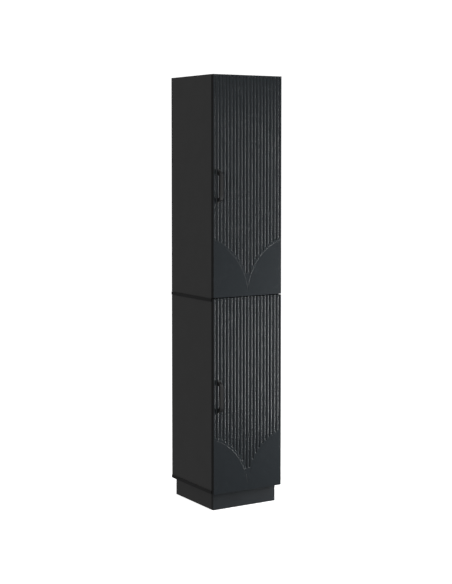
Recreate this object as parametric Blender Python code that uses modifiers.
"""Tall pantry cabinet: two fluted doors, one above the other, on a chipboard carcass with a set-back plinth.

Metres, +Z up. The origin is on the floor, below the middle of the cabinet. The doors face -Y and are hinged
on the right (+X), so +X is to the right of somebody who stands in front of it.
"""
import math

import bmesh
import bpy
from mathutils import Matrix, Vector

# Carcass, seen from the front
BOARD = 0.016                     # melamine chipboard
BOARD_HALF_WIDTH = 0.200          # bottom and middle boards, which stand proud of the sides
SIDE_PROUD = 0.002
OVERALL_HEIGHT = 2.144
PLINTH_HEIGHT = 0.086
MIDDLE_BOARD_Z = 1.036
CLEAR = 0.0003                    # between faces that touch
OVERCUT = 0.002                   # how far a cutter runs past the face that it cuts
EDGE_ROUND = 0.0006

# Depth, front to back
HANDLE_FRONT_Y = -0.225
HANDLE_REACH = 0.033
DOOR_THICKNESS = 0.018
DOOR_TO_CARCASS = 0.003
BACK_Y = 0.225
BACK_PANEL = 0.003

# Plinth
PLINTH_SIDE_INSET = 0.016
PLINTH_FRONT_INSET = 0.0325       # from the doors' front face
PLINTH_BACK_INSET = 0.015

# Doors
DOOR_GAP = 0.004
DOOR_REVEAL = 0.0005              # door's end above the bottom board's underside, and below the top
DOOR_ROUND = 0.001
GROOVE_COUNT = 20
GROOVE_PITCH = 0.01945
GROOVE_WIDTH = 0.0115
GROOVE_DEPTH = 0.0034
PETAL_CENTRE = 0.2846             # of a petal's arc, from the door's middle and level with its bottom
GROOVE_END_RADIUS = 0.2965        # the arc that the grooves' ends lie on

# Handles
HANDLE_CENTRES = 0.128
HANDLE_LENGTH = 0.164
HANDLE_WIDTH = 0.017
HANDLE_BAR = 0.012
HANDLE_FROM_EDGE = 0.028
HANDLE_ROUND = 0.0022
SCREW_RADIUS = 0.002
SCREW_HEAD_RADIUS = 0.004
SCREW_HEAD = 0.0022
SCREW_GRIP = 0.008                # length of screw inside the handle's foot
SCREW_END_CLEAR = 0.001

# Concealed hinges
HINGE_AXIS_FROM_EDGE = 0.007      # from the door's right edge
HINGE_AXIS_DEPTH = 0.007          # behind the door's front face
CUP_RADIUS = 0.0175
CUP_DEPTH = 0.0115
CUP_WALL = 0.001
CUP_FROM_EDGE = 0.0225
FLANGE_THICKNESS = 0.001
FLANGE_SPAN = 0.052
FLANGE_EDGES = (0.0155, 0.0025)   # the flange's two edges, from the cup's middle towards the handle side
ARM_STAND_OUT = 0.0170            # from the side
ARM_DEPTH = 0.0120
ARM_HEIGHT = 0.0160
ARM_WALL = 0.0013
ARM_NOSE = 0.0005                 # in front of the carcass
ARM_LENGTH = 0.0665
PLATE_SET_BACK = 0.020
PLATE_LENGTH = 0.040
WING_SET_BACK = 0.030
WING_WIDTH = 0.014
WING_SPAN = 0.048
WING_THICKNESS = 0.002
HINGE_END_DISTANCE = 0.100
UPPER_HINGES = 3
LOWER_HINGES = 2

# Shelves
SHELVES_PER_BAY = 2
SHELF_SET_BACK = 0.020
SHELF_SIDE_CLEAR = 0.001
SHELF_BACK_CLEAR = 0.001
PIN_RADIUS = 0.0025
PIN_LENGTH = 0.016
PIN_IN_SIDE = 0.008
PIN_COLLAR_RADIUS = 0.0035
PIN_FROM_FRONT = 0.037
PIN_FROM_BACK = 0.050
HOLE_CLEAR = 0.0003

# Door buffers
BUFFER_RADIUS = 0.004
BUFFER_HEIGHT = 0.0024
BUFFER_FROM_END = 0.040

# Worked out
SIDE_OUTER = BOARD_HALF_WIDTH - SIDE_PROUD
SIDE_INNER = SIDE_OUTER - BOARD
DOOR_FRONT = HANDLE_FRONT_Y + HANDLE_REACH
DOOR_BACK = DOOR_FRONT + DOOR_THICKNESS
CARCASS_FRONT = DOOR_BACK + DOOR_TO_CARCASS
CARCASS_BACK = BACK_Y - BACK_PANEL
BOTTOM_TOP = PLINTH_HEIGHT + BOARD
MIDDLE_TOP = MIDDLE_BOARD_Z + BOARD
LOWER_DOOR = (PLINTH_HEIGHT + DOOR_REVEAL, MIDDLE_TOP + DOOR_REVEAL)
UPPER_DOOR = (LOWER_DOOR[1] + DOOR_GAP, OVERALL_HEIGHT - DOOR_REVEAL)
HINGE_X = SIDE_OUTER - HINGE_AXIS_FROM_EDGE
HINGE_Y = DOOR_FRONT + HINGE_AXIS_DEPTH
CUP_X = SIDE_OUTER - CUP_FROM_EDGE
HANDLE_X = -SIDE_OUTER + HANDLE_FROM_EDGE
GROOVE_RADIUS = (GROOVE_WIDTH ** 2 / 4 + GROOVE_DEPTH ** 2) / (2 * GROOVE_DEPTH)

# Facets round a full turn
GROOVE_FACETS = 24
CUP_FACETS = 24
SMALL_FACETS = 12


def start_scene():
    """Empties the scene and makes the two collections."""
    for item in list(bpy.data.objects):
        bpy.data.objects.remove(item, do_unlink=True)
    made = []
    for name in ("pantry_cabinet", "cutters"):
        group = bpy.data.collections.new(name)
        bpy.context.scene.collection.children.link(group)
        made.append(group)
    return made


def finish(name, colour, roughness, metallic=0.0):
    """A plain material."""
    material = bpy.data.materials.new(name)
    material.use_nodes = True
    shader = material.node_tree.nodes["Principled BSDF"]
    shader.inputs["Base Color"].default_value = (*colour, 1.0)
    shader.inputs["Roughness"].default_value = roughness
    shader.inputs["Metallic"].default_value = metallic
    return material


PARTS, CUTTERS = start_scene()
LAMINATE = finish("black_laminate", (0.030, 0.030, 0.030), 0.55)
GRAPHITE = finish("graphite_front", (0.027, 0.032, 0.037), 0.45)
HARDBOARD = finish("black_hardboard", (0.022, 0.022, 0.022), 0.75)
HANDLE_BLACK = finish("handle_black", (0.012, 0.012, 0.013), 0.35)
STEEL = finish("nickel_steel", (0.55, 0.54, 0.52), 0.30, 1.0)
BUFFER_CLEAR = finish("buffer_rubber", (0.35, 0.35, 0.34), 0.50)


def add_object(name, data, origin, material, parent=None):
    """Puts data in the part's collection, with its own origin at a world point."""
    item = bpy.data.objects.new(name, data)
    PARTS.objects.link(item)
    item.location = Vector(origin)
    if parent is not None:
        item.parent = parent
        item.location -= parent.location
    item.data.materials.append(material)
    return item


def add_axis(name, x, y, z):
    """An empty on a joint's axis, which carries the pieces that turn about it."""
    empty = bpy.data.objects.new(name, None)
    PARTS.objects.link(empty)
    empty.location = (x, y, z)
    return empty


def fill_box(shape, low, high):
    """Adds a box to a bmesh."""
    low = Vector(low)
    high = Vector(high)
    verts = bmesh.ops.create_cube(shape, size=1.0)["verts"]
    bmesh.ops.scale(shape, vec=high - low, verts=verts)
    bmesh.ops.translate(shape, vec=(low + high) / 2, verts=verts)
    return verts


def fill_cylinder(shape, start, end, radius, facets):
    """Adds a capped cylinder between two points to a bmesh."""
    start = Vector(start)
    span = Vector(end) - start
    turn = Vector((0, 0, 1)).rotation_difference(span).to_matrix().to_4x4()
    matrix = Matrix.Translation(start + span / 2) @ turn
    made = bmesh.ops.create_cone(shape, cap_ends=True, segments=facets, radius1=radius, radius2=radius,
                                 depth=span.length, matrix=matrix)
    return made["verts"]


def mesh_from(shape, name, origin):
    """Turns a bmesh in world coordinates into a mesh about an origin."""
    bmesh.ops.translate(shape, vec=-Vector(origin), verts=shape.verts[:])
    mesh = bpy.data.meshes.new(name)
    shape.to_mesh(mesh)
    shape.free()
    return mesh


def soften(item, width, segments=1):
    """Rounds the edges of a piece."""
    bevel = item.modifiers.new("edges", "BEVEL")
    bevel.width = width
    bevel.segments = segments
    bevel.limit_method = "ANGLE"


def board(name, low, high, material=LAMINATE, parent=None, origin=None, rounding=EDGE_ROUND):
    """A rectangular board with slightly rounded edges."""
    if origin is None:
        origin = (Vector(low) + Vector(high)) / 2
    shape = bmesh.new()
    fill_box(shape, low, high)
    item = add_object(name, mesh_from(shape, name, origin), origin, material, parent)
    if rounding:
        soften(item, rounding)
    return item


def combine(item, shape, operation="DIFFERENCE"):
    """Cuts a bmesh of world-space solids from a piece, or joins it on."""
    name = f"{item.name}_{operation.lower()}_{len(item.modifiers)}"
    cutter = bpy.data.objects.new(name, mesh_from(shape, name, (0, 0, 0)))
    CUTTERS.objects.link(cutter)
    cutter.hide_render = True
    cutter.display_type = "WIRE"
    change = item.modifiers.new(operation.lower(), "BOOLEAN")
    change.operation = operation
    change.object = cutter


def turned(name, profile, origin, direction, material, facets=SMALL_FACETS, parent=None):
    """A turned piece: profile is (radius, height) from top to bottom, and its top points in a direction."""
    mesh = bpy.data.meshes.new(name)
    points = [(radius, 0.0, height) for radius, height in profile]
    mesh.from_pydata(points, [(i, i + 1) for i in range(len(points) - 1)], [])
    item = add_object(name, mesh, origin, material, parent)
    item.rotation_euler = Vector((0, 0, 1)).rotation_difference(Vector(direction)).to_euler()
    screw = item.modifiers.new("turn", "SCREW")
    screw.steps = facets
    screw.render_steps = facets
    screw.use_merge_vertices = True
    screw.merge_threshold = 0.00001
    return item


def groove_end(x):
    """Height above the door's bottom at which a groove ends, and the slope of the petal's arc there."""
    across = PETAL_CENTRE - abs(x)
    height = math.sqrt(GROOVE_END_RADIUS ** 2 - across ** 2)
    return height, math.copysign(across / height, x)


def plinth():
    """The set-back box that the cabinet stands on."""
    half = SIDE_OUTER - PLINTH_SIDE_INSET
    front = DOOR_FRONT + PLINTH_FRONT_INSET
    back = BACK_Y - PLINTH_BACK_INSET
    top = PLINTH_HEIGHT - CLEAR
    board("plinth_front", (-half, front, 0), (half, front + BOARD, top))
    board("plinth_back", (-half, back - BOARD, 0), (half, back, top))
    for name, low, high in (("left", -half, -half + BOARD), ("right", half - BOARD, half)):
        board(f"plinth_{name}", (low, front + BOARD + CLEAR, 0), (high, back - BOARD - CLEAR, top))


def through_boards():
    """Bottom, middle and top boards."""
    for name, z in (("bottom_board", PLINTH_HEIGHT), ("middle_board", MIDDLE_BOARD_Z)):
        board(name, (-BOARD_HALF_WIDTH, CARCASS_FRONT, z), (BOARD_HALF_WIDTH, BACK_Y, z + BOARD))
    half = SIDE_INNER - CLEAR
    board("top_board", (-half, CARCASS_FRONT, OVERALL_HEIGHT - BOARD), (half, CARCASS_BACK, OVERALL_HEIGHT))


def shelf_heights(bay):
    """Undersides of a bay's shelves, which divide it evenly."""
    low, high = bay
    step = (high - low + BOARD) / (SHELVES_PER_BAY + 1)
    return [low + step * (i + 1) - BOARD for i in range(SHELVES_PER_BAY)]


def pin_rows():
    """Depths of the front and the back pin of a shelf."""
    return (("front", CARCASS_FRONT + PIN_FROM_FRONT), ("back", CARCASS_BACK - PIN_FROM_BACK))


def bay(level, low, high):
    """Two sides, a back panel, and shelves on pins, between two through boards."""
    top = high if level == "lower" else OVERALL_HEIGHT
    shelves = shelf_heights((low, high))
    for name, sign in (("left", -1), ("right", 1)):
        inner = sign * SIDE_INNER
        outer = sign * SIDE_OUTER
        side = board(f"{level}_side_{name}", (min(inner, outer), CARCASS_FRONT, low + CLEAR),
                     (max(inner, outer), CARCASS_BACK, top - (CLEAR if level == "lower" else 0)))
        holes = bmesh.new()
        for z in shelves:
            for _, y in pin_rows():
                pin_z = z - CLEAR - PIN_RADIUS
                fill_cylinder(holes, (inner - sign * OVERCUT, y, pin_z),
                              (inner + sign * (PIN_IN_SIDE + HOLE_CLEAR), y, pin_z),
                              PIN_RADIUS + HOLE_CLEAR, SMALL_FACETS)
        combine(side, holes)
    board(f"{level}_back_panel", (-SIDE_OUTER, CARCASS_BACK + CLEAR, low + CLEAR),
          (SIDE_OUTER, BACK_Y, top - (CLEAR if level == "lower" else 0)), HARDBOARD, rounding=0)
    half = SIDE_INNER - SHELF_SIDE_CLEAR
    for i, z in enumerate(shelves, 1):
        board(f"{level}_shelf_{i}", (-half, CARCASS_FRONT + SHELF_SET_BACK, z),
              (half, CARCASS_BACK - SHELF_BACK_CLEAR, z + BOARD))
        for side_name, sign in (("left", -1), ("right", 1)):
            for row_name, y in pin_rows():
                shelf_pin(f"{level}_shelf_{i}_pin_{row_name}_{side_name}", sign, y, z)


def shelf_pin(name, sign, y, shelf_z):
    """A turned pin in the side's hole, whose free end the shelf rests on."""
    free = PIN_LENGTH - PIN_IN_SIDE
    collar = SHELF_SIDE_CLEAR - CLEAR
    profile = [(0.0, free), (PIN_RADIUS, free), (PIN_RADIUS, collar), (PIN_COLLAR_RADIUS, collar),
               (PIN_COLLAR_RADIUS, CLEAR), (PIN_RADIUS, CLEAR), (PIN_RADIUS, -PIN_IN_SIDE),
               (0.0, -PIN_IN_SIDE)]
    origin = (sign * SIDE_INNER, y, shelf_z - CLEAR - PIN_RADIUS)
    turned(name, profile, origin, (-sign, 0, 0), STEEL)


def hinge_heights(door, count):
    """Heights of a door's hinges: one near each end, and any others evenly between."""
    low = door[0] + HINGE_END_DISTANCE
    high = door[1] - HINGE_END_DISTANCE
    return [low + (high - low) * i / (count - 1) for i in range(count)]


def handle_middle(door):
    """Height of a handle's middle, which is the door's."""
    return (door[0] + door[1]) / 2


def door_panel(level, door, count, axis):
    """A fluted door, with cup recesses and handle screw holes in it."""
    origin = (HINGE_X, HINGE_Y, door[0])
    panel = board(f"{level}_door", (-SIDE_OUTER, DOOR_FRONT, door[0]), (SIDE_OUTER, DOOR_BACK, door[1]),
                  GRAPHITE, axis, origin, DOOR_ROUND)
    grooves = bmesh.new()
    for i in range(GROOVE_COUNT):
        x = (i - (GROOVE_COUNT - 1) / 2) * GROOVE_PITCH
        y = DOOR_FRONT + GROOVE_DEPTH - GROOVE_RADIUS
        rise, slope = groove_end(x)
        foot = door[0] + rise
        verts = fill_cylinder(grooves, (x, y, foot), (x, y, door[1] + OVERCUT), GROOVE_RADIUS, GROOVE_FACETS)
        for vert in verts:
            if vert.co.z < door[1]:
                vert.co.z = foot + slope * (vert.co.x - x)
    combine(panel, grooves)
    holes = bmesh.new()
    for z in hinge_heights(door, count):
        fill_cylinder(holes, (CUP_X, DOOR_BACK + OVERCUT, z), (CUP_X, DOOR_BACK - CUP_DEPTH, z),
                      CUP_RADIUS, CUP_FACETS)
    for offset in (-HANDLE_CENTRES / 2, HANDLE_CENTRES / 2):
        z = handle_middle(door) + offset
        fill_cylinder(holes, (HANDLE_X, DOOR_FRONT - OVERCUT, z), (HANDLE_X, DOOR_BACK + OVERCUT, z),
                      SCREW_RADIUS + HOLE_CLEAR, SMALL_FACETS)
    combine(panel, holes)


def handle_outline():
    """Bow handle seen from the side: (distance from the door, height from its middle)."""
    half = HANDLE_LENGTH / 2
    reach = HANDLE_REACH - CLEAR
    upper = [(0.0, half), (0.0035, half), (0.009, half - 0.008), (reach - 0.007, half - 0.016),
             (reach - 0.001, half - 0.026), (reach, half - 0.036)]
    inner = [(reach - HANDLE_BAR, half - 0.038), (reach - HANDLE_BAR - 0.004, half - 0.030),
             (0.010, half - 0.025), (0.0, half - 0.026)]
    outer_run = upper + [(out, -up) for out, up in reversed(upper)]
    inner_run = [(out, -up) for out, up in reversed(inner)] + inner
    return outer_run + inner_run


def handle(level, door, axis):
    """A bow handle and the two screws that hold it from inside the door."""
    middle = handle_middle(door)
    curve = bpy.data.curves.new(f"{level}_handle_outline", "CURVE")
    curve.dimensions = "2D"
    curve.fill_mode = "BOTH"
    curve.extrude = HANDLE_WIDTH / 2
    outline = handle_outline()
    spline = curve.splines.new("POLY")
    spline.points.add(len(outline) - 1)
    for point, (out, up) in zip(spline.points, outline):
        point.co = (out, up, 0.0, 1.0)
    spline.use_cyclic_u = True
    drawn = bpy.data.objects.new(curve.name, curve)
    PARTS.objects.link(drawn)
    bpy.context.view_layer.update()
    solid = bpy.data.meshes.new_from_object(drawn.evaluated_get(bpy.context.evaluated_depsgraph_get()))
    bpy.data.objects.remove(drawn)
    shape = bmesh.new()
    shape.from_mesh(solid)
    bmesh.ops.remove_doubles(shape, verts=shape.verts[:], dist=0.00001)
    place = Matrix(((0, 0, -1, HANDLE_X), (-1, 0, 0, DOOR_FRONT - CLEAR), (0, 1, 0, middle), (0, 0, 0, 1)))
    bmesh.ops.transform(shape, matrix=place, verts=shape.verts[:])
    origin = (HANDLE_X, DOOR_FRONT, middle)
    mesh = mesh_from(shape, f"{level}_handle", origin)
    item = add_object(f"{level}_handle", mesh, origin, HANDLE_BLACK, axis)
    soften(item, HANDLE_ROUND, 2)
    holes = bmesh.new()
    for name, offset in (("bottom", -HANDLE_CENTRES / 2), ("top", HANDLE_CENTRES / 2)):
        z = middle + offset
        fill_cylinder(holes, (HANDLE_X, DOOR_FRONT + OVERCUT, z),
                      (HANDLE_X, DOOR_FRONT - SCREW_GRIP - SCREW_END_CLEAR, z),
                      SCREW_RADIUS + HOLE_CLEAR, SMALL_FACETS)
        handle_screw(f"{level}_handle_screw_{name}", z, axis)
    combine(item, holes)


def handle_screw(name, z, axis):
    """A pan-head screw through the door, with its head on the inner face."""
    length = DOOR_THICKNESS + SCREW_GRIP
    profile = [(0.0, SCREW_HEAD), (SCREW_HEAD_RADIUS * 0.75, SCREW_HEAD),
               (SCREW_HEAD_RADIUS, SCREW_HEAD * 0.55), (SCREW_HEAD_RADIUS, CLEAR),
               (SCREW_RADIUS, CLEAR), (SCREW_RADIUS, -length), (0.0, -length)]
    turned(name, profile, (HANDLE_X, DOOR_BACK, z), (0, 1, 0), STEEL, parent=axis)


def hinge(name, z, axis):
    """A concealed hinge: plate and arm on the side, and a cup in the door."""
    wall = SIDE_INNER - CLEAR
    arm_out = wall - ARM_STAND_OUT
    arm_half = ARM_HEIGHT / 2
    arm_front = CARCASS_FRONT - ARM_NOSE
    arm_back = arm_front + ARM_LENGTH
    plate_half = arm_half - ARM_WALL - CLEAR
    plate_front = CARCASS_FRONT + PLATE_SET_BACK
    plate = board(f"{name}_plate", (arm_out + ARM_WALL + CLEAR, plate_front, z - plate_half),
                  (wall, plate_front + PLATE_LENGTH, z + plate_half), STEEL, rounding=0)
    wings = bmesh.new()
    fill_box(wings, (wall - WING_THICKNESS, CARCASS_FRONT + WING_SET_BACK, z - WING_SPAN / 2),
             (wall, CARCASS_FRONT + WING_SET_BACK + WING_WIDTH, z + WING_SPAN / 2))
    combine(plate, wings, "UNION")
    arm = board(f"{name}_arm", (arm_out, arm_front, z - arm_half),
                (arm_out + ARM_DEPTH, arm_back, z + arm_half), STEEL)
    channel = bmesh.new()
    fill_box(channel, (arm_out + ARM_WALL, arm_front - OVERCUT, z - arm_half + ARM_WALL),
             (arm_out + ARM_DEPTH + OVERCUT, arm_back + OVERCUT, z + arm_half - ARM_WALL))
    combine(arm, channel)
    hinge_cup(f"{name}_cup", z, axis)


def hinge_cup(name, z, axis):
    """The cup in the door's back, with the flange that its screws hold."""
    origin = (CUP_X, DOOR_BACK, z)
    face = DOOR_BACK + CLEAR
    rim = face + FLANGE_THICKNESS
    bottom = DOOR_BACK - CUP_DEPTH + CLEAR
    radius = CUP_RADIUS - HOLE_CLEAR
    far_edge, near_edge = FLANGE_EDGES
    cup = board(name, (CUP_X - far_edge, face, z - FLANGE_SPAN / 2),
                (CUP_X - near_edge, rim, z + FLANGE_SPAN / 2), STEEL, axis, origin, 0)
    outer = bmesh.new()
    fill_cylinder(outer, (CUP_X, rim, z), (CUP_X, bottom, z), radius, CUP_FACETS)
    combine(cup, outer, "UNION")
    inner = bmesh.new()
    fill_cylinder(inner, (CUP_X, rim + OVERCUT, z), (CUP_X, bottom + CUP_WALL, z),
                  radius - CUP_WALL, CUP_FACETS)
    combine(cup, inner)


def buffers(level, door):
    """Two soft buttons on the left side's front edge, which the door shuts against."""
    x = -(SIDE_INNER + SIDE_OUTER) / 2
    profile = [(0.0, BUFFER_HEIGHT), (BUFFER_RADIUS * 0.6, BUFFER_HEIGHT * 0.9),
               (BUFFER_RADIUS, BUFFER_HEIGHT * 0.4), (BUFFER_RADIUS, CLEAR), (0.0, CLEAR)]
    for name, z in (("bottom", door[0] + BUFFER_FROM_END), ("top", door[1] - BUFFER_FROM_END)):
        turned(f"{level}_buffer_{name}", profile, (x, CARCASS_FRONT, z), (0, -1, 0), BUFFER_CLEAR)


def door_set(level, door, hinges):
    """One door with everything that it carries, and its hinges' fixed pieces."""
    axis = add_axis(f"{level}_door_axis", HINGE_X, HINGE_Y, door[0])
    door_panel(level, door, hinges, axis)
    handle(level, door, axis)
    for i, z in enumerate(hinge_heights(door, hinges), 1):
        hinge(f"{level}_hinge_{i}", z, axis)
    buffers(level, door)


plinth()
through_boards()
bay("lower", BOTTOM_TOP, MIDDLE_BOARD_Z)
bay("upper", MIDDLE_TOP, OVERALL_HEIGHT - BOARD)
door_set("lower", LOWER_DOOR, LOWER_HINGES)
door_set("upper", UPPER_DOOR, UPPER_HINGES)
